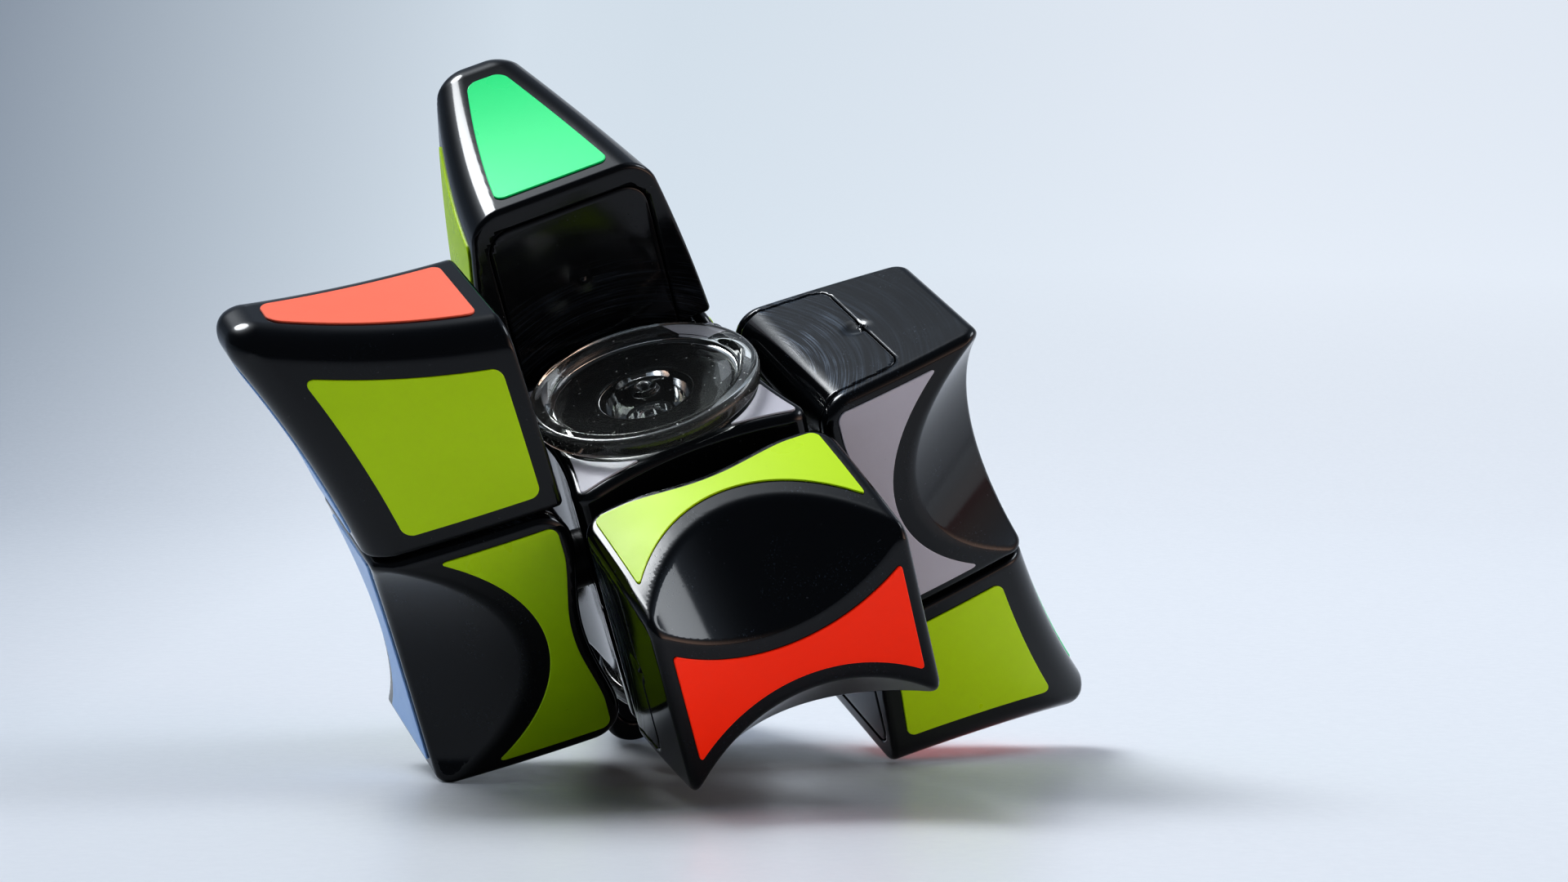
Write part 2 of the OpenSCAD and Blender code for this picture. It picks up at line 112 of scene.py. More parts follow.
BORDER = 1.6
EDGE_BORDER = 1.2
FACE_BORDER = 3.5
SIDE_BORDER = 2.6

# Finer details, in millimetres: seams, gate marks, and the finger cap's rim and fillet
GAP = 0.06
GATE_R = 4
NIB_OUT = 0.25
COVER_GATE_X = 19
RIM_W = 1.8
RIM = 0.65
STEM_FILLET = 0.4

# Worked out from them
FLANGE = HALF_W - FLANGE_T


# ---- Distance fields in millimetres, below zero inside ----

def half_at(r):
    return HALF_T - DOME_R + np.sqrt(DOME_R**2 - r**2)


def side_at(u):
    return SIDE_AT + SIDE_R - np.sqrt(SIDE_R**2 - u**2)


def both(a, b, r):
    """Intersection with its edge rounded to about r."""
    return np.minimum(np.maximum(a, b), -r) + np.hypot(np.maximum(a + r, 0), np.maximum(b + r, 0))


def dome(x, y, z, raised=0):
    return np.sqrt(x**2 + y**2 + (np.abs(z) + DOME_R - HALF_T - raised) ** 2) - DOME_R


def side(x, y):
    return SIDE_R - np.hypot(x - SIDE_AT - SIDE_R, y)


SCOOP_TOP = float(half_at(SCOOP_REACH))
TILT = math.atan2(SCOOP_TOP - SCOOP_HALF_WAIST, SIDE_AT - SCOOP_REACH)
EDGE_X = float(side_at(HALF_W))
EDGE_Z = float(half_at(math.hypot(EDGE_X, HALF_W)))
SAG = (EDGE_X - SCOOP_REACH) * math.sin(TILT) + (EDGE_Z - SCOOP_TOP) * math.cos(TILT)
SCOOP_R = (HALF_W**2 + SAG**2) / (2 * SAG)
STAR_SAG = HALF_W - STAR_WAIST
STAR_R = (HALF_W**2 + STAR_SAG**2) / (2 * STAR_SAG)
STAR_CENTRE = STAR_WAIST + STAR_R
SIDE_CENTRE = SIDE_AT + SIDE_R
TIP_FAR = (TIP_R**2 - SIDE_R**2 + SIDE_CENTRE**2) / (2 * SIDE_CENTRE)
TIP_NEAR = math.sqrt(TIP_R**2 - TIP_FAR**2)


def scoop(x, y, z):
    """Outside of both finger scoops."""
    w = (x - SCOOP_REACH) * math.sin(TILT) + (np.abs(z) - SCOOP_TOP) * math.cos(TILT) - SCOOP_R
    return SCOOP_R - np.hypot(w, y)


def gate_mark(s, along, out, z, reach, nib_r, shift=0):
    """Adds a moulding gate's mark to a field: a shallow dimple with a nib.
    along and out are distances from the mark's middle, along its face and out of it."""
    dimple = np.sqrt((along + shift) ** 2 + (out - reach) ** 2 + z**2)
    s = both(s, GATE_R - dimple, 0.1)
    return np.minimum(s, np.sqrt(along**2 + (out + NIB_OUT) ** 2 + z**2) - nib_r)


def edge_block(x, y, z):
    y = np.abs(y)
    s = both(INNER - x, y - HALF_W, 2.8)
    s = both(s, NOTCH_R - np.hypot(x, y), 1.5)
    s = both(s, both(side(x, y), dome(x, y, z), 1.5), 0.85)
    s = both(s, scoop(x, y, z), 0.33)
    return gate_mark(s, x - FOOT_END_X, y - HALF_W, z, 3.8, 0.38, shift=0.5)


def foot_room(x, y, z):
    """Room that the foot fills: a base plate and two flanges."""
    z = np.abs(z)
    slope = math.atan2(FOOT_Z - FOOT_END_Z, FOOT_END_X - FOOT_CHAMFER - INNER)
    p = (x - INNER) * math.sin(slope) + (z - FOOT_Z) * math.cos(slope)
    p = both(p, ((x - FOOT_END_X + FOOT_CHAMFER) + (z - FOOT_END_Z)) * math.sqrt(0.5), 0.5)
    p = both(p, x - FOOT_END_X, 0.5)
    return np.maximum(p, np.minimum(x - FOOT_X, FLANGE - np.abs(y)))


def edge_shell(x, y, z):
    s = both(edge_block(x, y, z), GAP - foot_room(x, y, z), 0.1)
    to_x, to_y, to_z = EDGE_CAVITY
    hollow = np.maximum(np.maximum(x - to_x, np.abs(y) - to_y), np.abs(z) - to_z)
    return np.maximum(s, -hollow)


def edge_foot(x, y, z):
    s = both(edge_block(x, y, z), foot_room(x, y, z) + GAP, 0.1)
    return np.maximum(s, POST_R + GAP - np.hypot(y, z))


def corner_block(x, y, z):
    s = both(side(x, y), side(y, x), 2)
    s = both(s, np.hypot(x, y) - TIP_R, 1.6)
    s = both(s, dome(x, y, z), 2.4)
    return both(s, both(INNER - x, INNER - y, 0.5), 0.5)


def cover_room(x, y, z):
    """Room for the angled cover that wraps both inner faces."""
    long, short = np.maximum(x, y), np.minimum(x, y)
    u, v = long - COVER_TO + COVER_R, np.abs(z) - COVER_Z + COVER_R
    s = np.hypot(np.maximum(u, 0), np.maximum(v, 0)) + np.minimum(np.maximum(u, v), 0) - COVER_R
    return np.maximum(s, short - INNER - COVER_T)


def magnet_pocket(x, y, z):
    return np.maximum(np.hypot(x - MAGNET_X, z) - MAGNET_R, y - INNER - COVER_T - MAGNET_T)


def corner_shell(x, y, z):
    s = both(corner_block(x, y, z), GAP - cover_room(x, y, z), 0.1)
    for u, v in ((x, y), (y, x)):
        s = np.maximum(s, -magnet_pocket(u, v, z))
    start, end, to_z = CORNER_CAVITY
    hollow = np.maximum(np.maximum(start - np.minimum(x, y), np.maximum(x, y) - end), np.abs(z) - to_z)
    return np.maximum(s, -hollow)


def corner_cover(x, y, z):
    s = both(corner_block(x, y, z) + 0.02, cover_room(x, y, z) + GAP, 0.12)
    long, short = np.maximum(x, y), np.minimum(x, y)
    return gate_mark(s, long - COVER_GATE_X, INNER - short, z, 3.85, 0.36)


def core_shell(x, y, z):
    """Upper half of the centre block."""
    x, y = np.abs(x), np.abs(y)
    r = np.hypot(x, y)
    s = both(STAR_R - np.hypot(x - STAR_CENTRE, y),
             STAR_R - np.hypot(x, y - STAR_CENTRE), 1.8)
    s = both(s, r - STAR_TIP_R, 1.8)
    s = both(s, dome(x, y, z, CENTRE_RAISE), 0.8)
    s = both(s, 0.04 - z, 0.12)
    s = both(s, STEM_R + STEM_CLEARANCE - r, 0.3)
    s = np.maximum(s, -np.maximum(r - SPIDER_R, z - BEARING_HALF))
    s = np.maximum(s, -np.maximum(r - RING_CLEARANCE_R, z - RING_CLEARANCE_H))
    return np.maximum(s, POST_R - np.minimum(np.hypot(y, z), np.hypot(x, z)))


# ---- Meshing ----

def slope_at(field, p, step=1e-3):
    """Gradient of a field at an array of points."""
    columns = []
    for a in range(p.shape[1]):
        ahead, behind = p.copy(), p.copy()
        ahead[:, a] += step
        behind[:, a] -= step
        columns.append((field(*ahead.T) - field(*behind.T)) / (2 * step))
    return np.stack(columns, 1)


def settle(field, p, rounds):
    """Moves points onto the surface of a field."""
    for _ in range(rounds):
        g = slope_at(field, p)
        p = p - g * (field(*p.T) / np.maximum((g**2).sum(1), 0.2))[:, None]
    return p


def unit(v):
    return v / np.maximum(np.linalg.norm(v, axis=1), 1e-9)[:, None]


def lines(low, high, coarse, fine=(), fine_step=0.2):
    """Grid lines, closer together inside the fine bands."""
    out = [low]
    while out[-1] < high:
        in_band = any(a <= out[-1] < b for a, b in fine)
        out.append(out[-1] + (fine_step if in_band else coarse))
    return np.array(out)


def contour(field, xs, ys, zs):
    """Dual contouring: quads, points and normals of the surface of a field."""
    axes = (xs, ys, zs)
    value = field(*np.meshgrid(xs, ys, zs, indexing="ij"))
    shape = tuple(len(a) - 1 for a in axes)
    index = np.arange(np.prod(shape)).reshape(shape)
    quads, owners, places, normals = [], [], [], []
    for a in range(3):
        b, c = (a + 1) % 3, (a + 2) % 3
        low = [slice(1, -1)] * 3
        high = [slice(1, -1)] * 3
        low[a], high[a] = slice(0, -1), slice(1, None)
        v0, v1 = value[tuple(low)], value[tuple(high)]
        crossed = (v0 < 0) != (v1 < 0)
        ijk = np.argwhere(crossed)
        ijk[:, b] += 1
        ijk[:, c] += 1
        start = np.stack([axes[d][ijk[:, d]] for d in range(3)], 1)
        near, far = start[:, a].copy(), axes[a][ijk[:, a] + 1]
        near_in = v0[crossed] < 0
        for _ in range(14):
            start[:, a] = (near + far) / 2
            same = (field(*start.T) < 0) == near_in
            near = np.where(same, start[:, a], near)
            far = np.where(same, far, start[:, a])
        ring = []
        for db, dc in ((0, 0), (-1, 0), (-1, -1), (0, -1)):
            cell = ijk.copy()
            cell[:, b] += db
            cell[:, c] += dc
            ring.append(index[tuple(cell.T)])
        ring = np.stack(ring, 1)
        ring[~near_in] = ring[~near_in][:, ::-1]
        quads.append(ring)
        owners.append(ring.ravel())
        places.append(np.repeat(start, 4, 0))
        normals.append(np.repeat(unit(slope_at(field, start)), 4, 0))
    quads, owners = np.concatenate(quads), np.concatenate(owners)
    places, normals = np.concatenate(places), np.concatenate(normals)
    used, owners = np.unique(owners, return_inverse=True)
    quads = np.searchsorted(used, quads)
    owners = owners.ravel()
    total = np.bincount(owners).astype(float)

    def summed(v):
        return np.stack([np.bincount(owners, v[:, k]) for k in range(v.shape[1])], 1)

    middle = summed(places) / total[:, None]
    offset = (normals * (places - middle[owners])).sum(1)
    right = summed(normals * offset[:, None])
    left = summed((normals[:, :, None] * normals[:, None, :]).reshape(-1, 9)).reshape(-1, 3, 3)
    left += 0.05 * total[:, None, None] * np.eye(3)
    points = middle + np.linalg.solve(left, right[:, :, None])[:, :, 0]
    cell = np.stack(np.unravel_index(used, shape), 1)
    for a in range(3):
        points[:, a] = np.clip(points[:, a], axes[a][cell[:, a]], axes[a][cell[:, a] + 1])
    points = settle(field, points, 2)
    return points, quads, unit(slope_at(field, points))


def mesh_from(name, points, faces, normals=None, sharp=None):
    """Blender mesh in metres; its normals are per point, or per face corner, or come from its angles."""
    mesh = bpy.data.meshes.new(name)
    mesh.from_pydata(points.tolist(), [], [list(map(int, f)) for f in faces])
    mesh.polygons.foreach_set("use_smooth", [True] * len(mesh.polygons))
    if sharp is not None:
        mesh.set_sharp_from_angle(angle=math.radians(sharp))
    mesh.update()
    if normals is not None and len(normals) == len(mesh.vertices):
        mesh.normals_split_custom_set_from_vertices(np.asarray(normals).tolist())
    elif normals is not None:
        mesh.normals_split_custom_set(np.asarray(normals).tolist())
    return mesh


# ---- Stickers ----

def outline_loops(field, us, vs):
    """Ordered closed loops of points on the zero line of a flat field."""
    value = field(*np.meshgrid(us, vs, indexing="ij"))
    inside = value < 0
    links = {}

    def link(p, q):
        links.setdefault(p, []).append(q)
        links.setdefault(q, []).append(p)

    for i, j in np.argwhere(inside[:-1, 1:-1] != inside[1:, 1:-1]):
        link((i, j), (i, j + 1))
    for i, j in np.argwhere(inside[1:-1, :-1] != inside[1:-1, 1:]):
        link((i, j), (i + 1, j))
    loops, seen = [], set()
    for first in sorted(links):
        if first in seen:
            continue
        loop, here = [], first
        while here is not None:
            seen.add(here)
            loop.append(here)
            here = next((n for n in links[here] if n not in seen), None)
        if len(loop) > 8:
            cells = np.array(loop)
            middle = np.stack([(us[cells[:, 0]] + us[cells[:, 0] + 1]) / 2,
                               (vs[cells[:, 1]] + vs[cells[:, 1] + 1]) / 2], 1)
            loops.append(settle(field, middle, 6))
    return loops


def turned_left(loop):
    """The loop, running anticlockwise."""
    u, v = loop.T
    area = (u * np.roll(v, -1) - np.roll(u, -1) * v).sum()
    return loop if area > 0 else loop[::-1]


def turned_over(faces, normals):
    """Faces and their corner normals with the winding reversed."""
    turned, reordered, start = [], normals.copy(), 0
    for f in faces:
        turned.append(f[::-1])
        reordered[start:start + len(f)] = normals[start:start + len(f)][::-1]
        start += len(f)
    return turned, reordered


def sticker(field, place, us, vs, flip=False):
    """Points, faces and corner normals of a thin sticker on a curved surface.
    field is its outline in flat coordinates; place(u, v, h) puts a point at height h above the surface."""
    bevel, sunk, grain = 0.05, -0.02, 0.9
    points, faces, normals = [], [], []

    def put(uv, h):
        return np.stack(np.broadcast_arrays(*place(uv[:, 0], uv[:, 1], h)), 1)

    for loop in outline_loops(field, us, vs):
        loop = turned_left(loop)
        away = unit(slope_at(field, loop))
        inset = loop - away * bevel
        gu, gv = np.meshgrid(np.arange(us[0], us[-1], grain), np.arange(vs[0], vs[-1], grain),
                             indexing="ij")
        fill = np.stack([gu.ravel(), gv.ravel()], 1)
        fill = fill[field(*fill.T) < -0.45]
        lo, hi = loop.min(0), loop.max(0)
        fill = fill[((fill > lo) & (fill < hi)).all(1)]
        n = len(loop)
        flat = [Vector(p) for p in np.concatenate([inset, fill]).tolist()]
        verts, _, tris, origin, _, _ = delaunay_2d_cdt(flat, [], [list(range(n))], 1, 1e-6)
        uv = np.array([tuple(v) for v in verts])
        where = {o: k for k, ids in enumerate(origin) for o in ids}
        rim = [where[k] for k in range(n)]
        low = uv.copy()
        low[rim] = loop
        up = unit(put(uv, 1.0) - put(uv, 0.0))
        base = sum(len(p) for p in points)
        m = len(uv)
        points += [put(uv, STICKER_T), put(low, sunk), put(loop, STICKER_T - bevel)]
        out = unit(put(loop + away * 0.1, 0.0) - put(loop, 0.0))
        slant = unit(out + up[rim])
        for t in tris:
            faces.append([base + k for k in t])
            normals.extend(up[k] for k in t)
        for t in tris:
            faces.append([base + m + k for k in reversed(t)])
            normals.extend(-up[k] for k in reversed(t))
        for k in range(n):
            nxt = (k + 1) % n
            top = [base + rim[k], base + rim[nxt]]
            mid = [base + 2 * m + k, base + 2 * m + nxt]
            foot = [base + m + rim[k], base + m + rim[nxt]]
            faces.append([top[0], mid[0], mid[1], top[1]])
            normals.extend((slant[k], slant[k], slant[nxt], slant[nxt]))
            faces.append([mid[0], foot[0], foot[1], mid[1]])
            normals.extend((out[k], out[k], out[nxt], out[nxt]))
    points, normals = np.concatenate(points), np.array(normals)
    if flip:
        faces, normals = turned_over(faces, normals)
    return points, faces, normals


def mirrored(part):
    """A part drawn on the side that faces +X, put on the side that faces +Y."""
    points, faces, normals = part
    swap = [1, 0, 2]
    return (points[:, swap], *turned_over(faces, normals[:, swap]))


def joined(*parts):
    """Several (points, faces, normals, matrix) as one."""
    points, faces, normals = [], [], []
    base = 0
    for p, f, n, m in parts:
        turn = np.array(m.to_3x3())
        points.append(p @ turn.T)
        normals.append(n @ turn.T)
        faces += [[base + k for k in face] for face in f]
        base += len(p)
    return np.concatenate(points), faces, np.concatenate(normals)


def on_face(level, raised=0):
    """Sticker surface on the upper (1) or lower (-1) main face."""
    def place(u, v, h):
        r = np.hypot(u, v)
        s = (DOME_R + h) / DOME_R
        return u * s, v * s, level * ((half_at(r) + DOME_R - HALF_T) * s - DOME_R + HALF_T + raised)
    return place


def on_side(u, v, h):
    """Sticker surface on the outer side that faces +X; u runs along it and v upwards."""
    s = (SIDE_R - h) / SIDE_R
    return SIDE_CENTRE - (SIDE_CENTRE - side_at(u)) * s, u * s, v + 0 * u


def edge_face_outline(u, v):
    z = half_at(np.hypot(u, v))
    s = both(INNER + EDGE_BORDER - u, np.abs(v) - HALF_W + EDGE_BORDER, 0.9)
    s = both(s, NOTCH_R + EDGE_BORDER - np.hypot(u, v), 0.9)
    s = both(s, u - EDGE_X + EDGE_BORDER, 0.4)
    return both(s, scoop(u, v, z) + SCOOP_INSET, 0.35)


def edge_side_outline(u, v):
    s = both(np.abs(u) - HALF_W + EDGE_BORDER, np.abs(v) - EDGE_Z + EDGE_BORDER, 0.9)
    return both(s, scoop(side_at(u), u, v) + SCOOP_INSET, 0.4)


def corner_face_outline(u, v):
    s = both(INNER + BORDER - u, INNER + BORDER - v, 0.9)
    s = both(s, side(u, v) + FACE_BORDER, 0.9)
    return both(s, side(v, u) + FACE_BORDER, 0.9)


def corner_side_outline(u, v):
    z = np.abs(v)
    s = both(INNER + BORDER - u, u - TIP_NEAR + SIDE_BORDER, 0.9)
    return both(s, dome(side_at(u), u, z) + SIDE_BORDER, 0.9)


def centre_outline(u, v):
    x, y = np.abs(u), np.abs(v)
    r = np.hypot(x, y)
    s = both(STAR_R + 0.9 - np.hypot(x - STAR_CENTRE, y),
             STAR_R + 0.9 - np.hypot(x, y - STAR_CENTRE), 0.3)
    s = both(s, r - STAR_TIP_R + 1.3, 0.4)
    return both(s, CAP_R - 0.4 - r, 0.25)


# ---- Lathe ----

def arc(cx, cz, r, a0, a1, count):
    """Points on an arc of a turned profile, angles in degrees."""
    return [(cx + r * math.cos(math.radians(a)), cz + r * math.sin(math.radians(a)))
            for a in np.linspace(a0, a1, count)]


def lathe(profile, count=144):
    """Points and faces of a turned solid; its profile starts and ends on the axis."""
    pts = np.array(profile)
    ang = np.linspace(0, 2 * np.pi, count, endpoint=False)
    body = pts[1:-1]
    ring = np.stack([np.outer(body[:, 0], np.cos(ang)), np.outer(body[:, 0], np.sin(ang)),
                     np.repeat(body[:, 1][:, None], count, 1)], 2).reshape(-1, 3)
    points = np.concatenate([ring, [[0, 0, pts[0, 1]], [0, 0, pts[-1, 1]]]])
    first, last = len(ring), len(ring) + 1
    faces = []
    for k in range(count):
        n = (k + 1) % count
        faces.append([first, k, n])
        for j in range(len(body) - 1):
            a, b = j * count, (j + 1) * count
            faces.append([a + k, b + k, b + n, a + n])
        e = (len(body) - 1) * count
        faces.append([last, e + n, e + k])
    return points, faces


# ---- Places ----

joints = {j["name"]: j for j in frame["joints"]}


def axis_of(name):
    return Vector(joints[name]["axis"]).normalized()


CENTRE = Vector(joints["cap_spin"]["pos_m"])
PUZZLE = Matrix.Translation(CENTRE) @ Matrix(
    (axis_of("left_turn"), axis_of("back_turn"), axis_of("cap_spin"))).transposed().to_4x4()
# Each side's direction round the centre, and its turn about its own post, in degrees
ROWS = {"left": (180, 90), "front": (-90, 0), "right": (0, 90), "back": (90, 90)}
BODY = {"left": "left_row", "front": "front_edge", "right": "right_row", "back": "back_row"}


def turn(angle, axis):
    return Matrix.Rotation(math.radians(angle), 4, axis)


def row_matrix(row):
    slot, twist = ROWS[row]
    return PUZZLE @ turn(slot, "Z") @ turn(twist, "X")


# A corner is drawn at the upper end of its row
UPPER = Matrix.Identity(4)
LOWER = turn(-90, "Z")

collection = bpy.context.scene.collection


def piece(name, part, matrix, body, replaced, material, sharp=None):
    """Adds one visible piece: its shape, place, body, replaced CAD nodes and material.
    part holds points, faces and normals in the piece's own millimetres; own_place keeps those points
    for its material."""
    points, faces, normals = part
    turned = np.array(matrix.to_3x3())
    mesh = mesh_from(name, points @ turned.T * MM + np.array(matrix.translation), faces,
                     None if normals is None else normals @ turned.T, sharp)
    own = mesh.attributes.new("own_place", "FLOAT_VECTOR", "POINT")
    own.data.foreach_set("vector", np.asarray(points, dtype=np.float32).ravel())
    obj = bpy.data.objects.new(name, mesh)
    collection.objects.link(obj)
    mesh.materials.append(material)
    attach(obj, body)
    if replaced:
        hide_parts(*replaced)


# ---- Materials ----

def tree_of(name):
    mat = bpy.data.materials.new(name)
    mat.use_nodes = True
    nodes = mat.node_tree.nodes
    nodes.clear()
    out = nodes.new("ShaderNodeOutputMaterial")
    shader = nodes.new("ShaderNodeBsdfPrincipled")
    mat.node_tree.links.new(shader.outputs[0], out.inputs["Surface"])
    return mat, shader


class Kit:
    """Short calls for building a node tree."""

    def __init__(self, mat):
        self.tree = mat.node_tree

    def add(self, kind, inputs=(), **settings):
        node = self.tree.nodes.new("ShaderNode" + kind)
        for key, value in settings.items():
            setattr(node, key, value)
        for key, value in dict(inputs).items():
            if isinstance(value, bpy.types.NodeSocket):
                self.tree.links.new(value, node.inputs[key])
            else:
                node.inputs[key].default_value = value
        return node

    def place(self, scale=(1, 1, 1), turned=(0, 0, 0)):
        """The piece's own coordinates, shifted by a different amount on each piece."""
        coords = self.add("TexCoord").outputs["Object"]
        shift = self.add("ObjectInfo").outputs["Random"]
        moved = self.add("VectorMath", {0: coords, 1: shift}, operation="ADD").outputs[0]
        return self.add("Mapping", {"Vector": moved, "Scale": scale, "Rotation": turned}).outputs[0]

    def noise(self, scale, detail=3, roughness=0.5, vector=None):
        inputs = {"Scale": scale, "Detail": detail, "Roughness": roughness,
                  "Vector": vector if vector is not None else self.place()}
        return self.add("TexNoise", inputs).outputs["Fac"]

    def span(self, value, low, high, to_low, to_high):
        return self.add("MapRange", {0: value, 1: low, 2: high, 3: to_low, 4: to_high}).outputs[0]

    def math(self, operation, a, b=0.0):
        return self.add("Math", {0: a, 1: b}, operation=operation).outputs[0]

    def scratches(self, turned, stretch=(5200, 260, 5200), low=0.66):
        """Thin straight scratches in one direction, 0 to 1."""
        fine = self.noise(1, 2, 0.5, self.place(stretch, turned))
        patch = self.span(self.noise(240, 2), 0.5, 0.66, 0, 1)
        return self.math("MULTIPLY", self.span(fine, low, low + 0.06, 0, 1), patch)

    def rubbed(self, axis, at):
        """Circular rub marks on the flat faces at a distance along X or Y, where neighbours slide."""
        own = self.add("Attribute", attribute_name="own_place", attribute_type="GEOMETRY").outputs["Vector"]
        xyz = self.add("SeparateXYZ", {0: own}).outputs
        across, along = (xyz[0], xyz[1]) if axis == "Y" else (xyz[1], xyz[0])
        flat = self.add("CombineXYZ", {0: across, 1: xyz[2]}).outputs[0]
        radius = self.add("VectorMath", {0: flat}, operation="LENGTH").outputs["Value"]
        angle = self.math("ARCTAN2", xyz[2], across)
        rings = self.add("CombineXYZ", {0: self.math("MULTIPLY", radius, 5.5),
                                        1: self.math("MULTIPLY", angle, 2.2),
                                        2: self.math("MULTIPLY", along, 0.3)}).outputs[0]
        fine = self.span(self.noise(1, 4, 0.62, rings), 0.46, 0.68, 0, 1)
        patch = self.span(self.noise(0.16, 2, 0.5, own), 0.38, 0.56, 0.3, 1)
        inner = self.span(radius, 15, 22, 1, 0.1)
        face = self.span(self.math("ABSOLUTE", along), at - 0.12, at - 0.02, 0, 1)
        if at == INNER:  # a corner has one such face; an edge has one at each end
            face = self.math("MULTIPLY", face, self.span(along, at + 0.02, at + 0.12, 1, 0))
        marks = self.math("MULTIPLY", self.math("MULTIPLY", fine, patch), inner)
        return self.math("MULTIPLY", marks, face)

    def blend(self, factor, a, b):
        node = self.add("Mix", {0: factor}, data_type="RGBA")
        for key, value in ((6, a), (7, b)):
            if isinstance(value, bpy.types.NodeSocket):
                self.tree.links.new(value, node.inputs[key])
            else:
                node.inputs[key].default_value = (*value, 1)
        return node.outputs[2]

    def bump(self, height, strength, distance):
        return self.add("Bump", {"Height": height, "Strength": strength, "Distance": distance}).outputs[0]

    def wire(self, shader, **sockets):
        for key, value in sockets.items():
            self.tree.links.new(value, shader.inputs[key.replace("_", " ")])


def set_values(shader, **values):
    for key, value in values.items():
        shader.inputs[key.replace("_", " ")].default_value = value


def black_plastic(name, rubs=(), worn=0.3, chalk=0.2):
    """Glossy moulded plastic with haze, dust, thin scratches and the rub marks of turning neighbours.
    worn roughens the marks, and chalk makes them paler."""
    mat, shader = tree_of(name)
    kit = Kit(mat)
    cloud = kit.noise(90, 4, 0.6)
    marks = kit.math("MAXIMUM", kit.scratches((0.3, 0.2, 0.5)), kit.scratches((1.2, 0.7, -0.6)))
    marks = kit.math("MULTIPLY", marks, 0.3)
    for axis, at in rubs:
        marks = kit.math("MAXIMUM", marks, kit.rubbed(axis, at))
    dust = kit.span(kit.noise(2600, 1, 0.5), 0.77, 0.81, 0, 1)
    haze = kit.span(cloud, 0.35, 0.7, 0.08, 0.13)
    roughness = kit.math("ADD", haze, kit.math("MULTIPLY", marks, worn))
    shade = kit.blend(cloud, (0.0045, 0.0055, 0.0070), (0.0065, 0.0075, 0.0095))
    shade = kit.blend(kit.math("MULTIPLY", dust, 0.22), shade, (0.20, 0.21, 0.23))
    shade = kit.blend(kit.math("MULTIPLY", marks, chalk), shade, (0.17, 0.23, 0.31))
    height = kit.math("ADD", kit.noise(420, 3, 0.55), kit.math("MULTIPLY", marks, -0.6))
    kit.wire(shader, Base_Color=shade, Roughness=roughness, Normal=kit.bump(height, 0.22, 0.00002))
    set_values(shader, IOR=1.49)
    return mat


def sticker_vinyl(name, colour, clouded=0.9, fluorescent_painted_glow=0):
    """Satin vinyl; its clouded patches are darker by a factor. Its emission is a painted glow in its own
    colour that stands in for fluorescence and shines in shade as well as in light.
    """
    mat, shader = tree_of(name)
    kit = Kit(mat)
    cloud = kit.noise(70, 4, 0.6)
    speck = kit.span(kit.noise(2600, 2, 0.6), 0.72, 0.77, 0, 1)
    shade = kit.blend(kit.span(cloud, 0.3, 0.7, 0, 0.5), colour, tuple(c * clouded for c in colour))
    shade = kit.blend(kit.math("MULTIPLY", speck, 0.15), shade, tuple(c * 0.5 for c in colour))
    marks = kit.scratches((0.4, 0.9, 0.2), (3600, 160, 3600), 0.7)
    roughness = kit.math("ADD", kit.span(cloud, 0.3, 0.7, 0.255, 0.375),
                         kit.math("MULTIPLY", marks, 0.15))
    height = kit.math("ADD", kit.noise(1500, 3, 0.6), kit.math("MULTIPLY", marks, -0.5))
    kit.wire(shader, Base_Color=shade, Roughness=roughness, Normal=kit.bump(height, 0.2, 0.00001))
    set_values(shader, IOR=1.45, Emission_Color=(*colour, 1), Emission_Strength=fluorescent_painted_glow)
    return mat


def metal(name, colour, rough):
    """Metal with a fine grain of thin lines."""
    mat, shader = tree_of(name)
    kit = Kit(mat)
    grain = kit.noise(1, 3, 0.6, kit.place((60, 60, 900)))
    shade = kit.blend(kit.noise(300, 3), colour, tuple(c * 0.8 for c in colour))
    kit.wire(shader, Base_Color=shade, Roughness=kit.span(grain, 0.3, 0.7, rough * 0.7, rough * 1.5),
             Normal=kit.bump(grain, 0.25, 0.00002))
    set_values(shader, Metallic=1.0)
    return mat


def nylon(name, colour):
    """Satin nylon with a fine moulded grain."""
    mat, shader = tree_of(name)
    kit = Kit(mat)
    grain = kit.noise(1400, 4, 0.65)
    shade = kit.blend(kit.noise(120, 3), colour, tuple(c * 1.6 for c in colour))
    kit.wire(shader, Base_Color=shade, Roughness=kit.span(grain, 0.3, 0.7, 0.357, 0.504),
             Normal=kit.bump(grain, 0.35, 0.00003))
    return mat


def clear_plastic(name):
    """Clear plastic, a little cloudy and scuffed from handling."""
    mat, shader = tree_of(name)
    kit = Kit(mat)
    stretch = (6200, 300, 6200)
    marks = kit.math("MAXIMUM", kit.scratches((0.1, 0.3, 0.8), stretch),
                     kit.scratches((0.2, -0.4, -0.9), stretch))
    dust = kit.span(kit.noise(2100, 1, 0.5), 0.73, 0.78, 0, 1)
    haze = kit.span(kit.noise(140, 4, 0.6), 0.4, 0.75, 0.01, 0.04)
    worn = kit.math("ADD", kit.math("MULTIPLY", marks, 0.15), kit.math("MULTIPLY", dust, 0.3))
    clouded = kit.math("ADD", kit.math("MULTIPLY", marks, 0.15), kit.math("MULTIPLY", dust, 0.35))
    clear = kit.math("SUBTRACT", 0.975, clouded)
    shade = kit.blend(kit.noise(200, 3), (0.93, 0.95, 0.92), (0.96, 0.97, 0.93))
    kit.wire(shader, Base_Color=shade, Roughness=kit.math("ADD", haze, worn), Transmission_Weight=clear,
             Normal=kit.bump(kit.noise(240, 2, 0.5), 0.15, 0.00002))
    set_values(shader, IOR=1.49)
    return mat


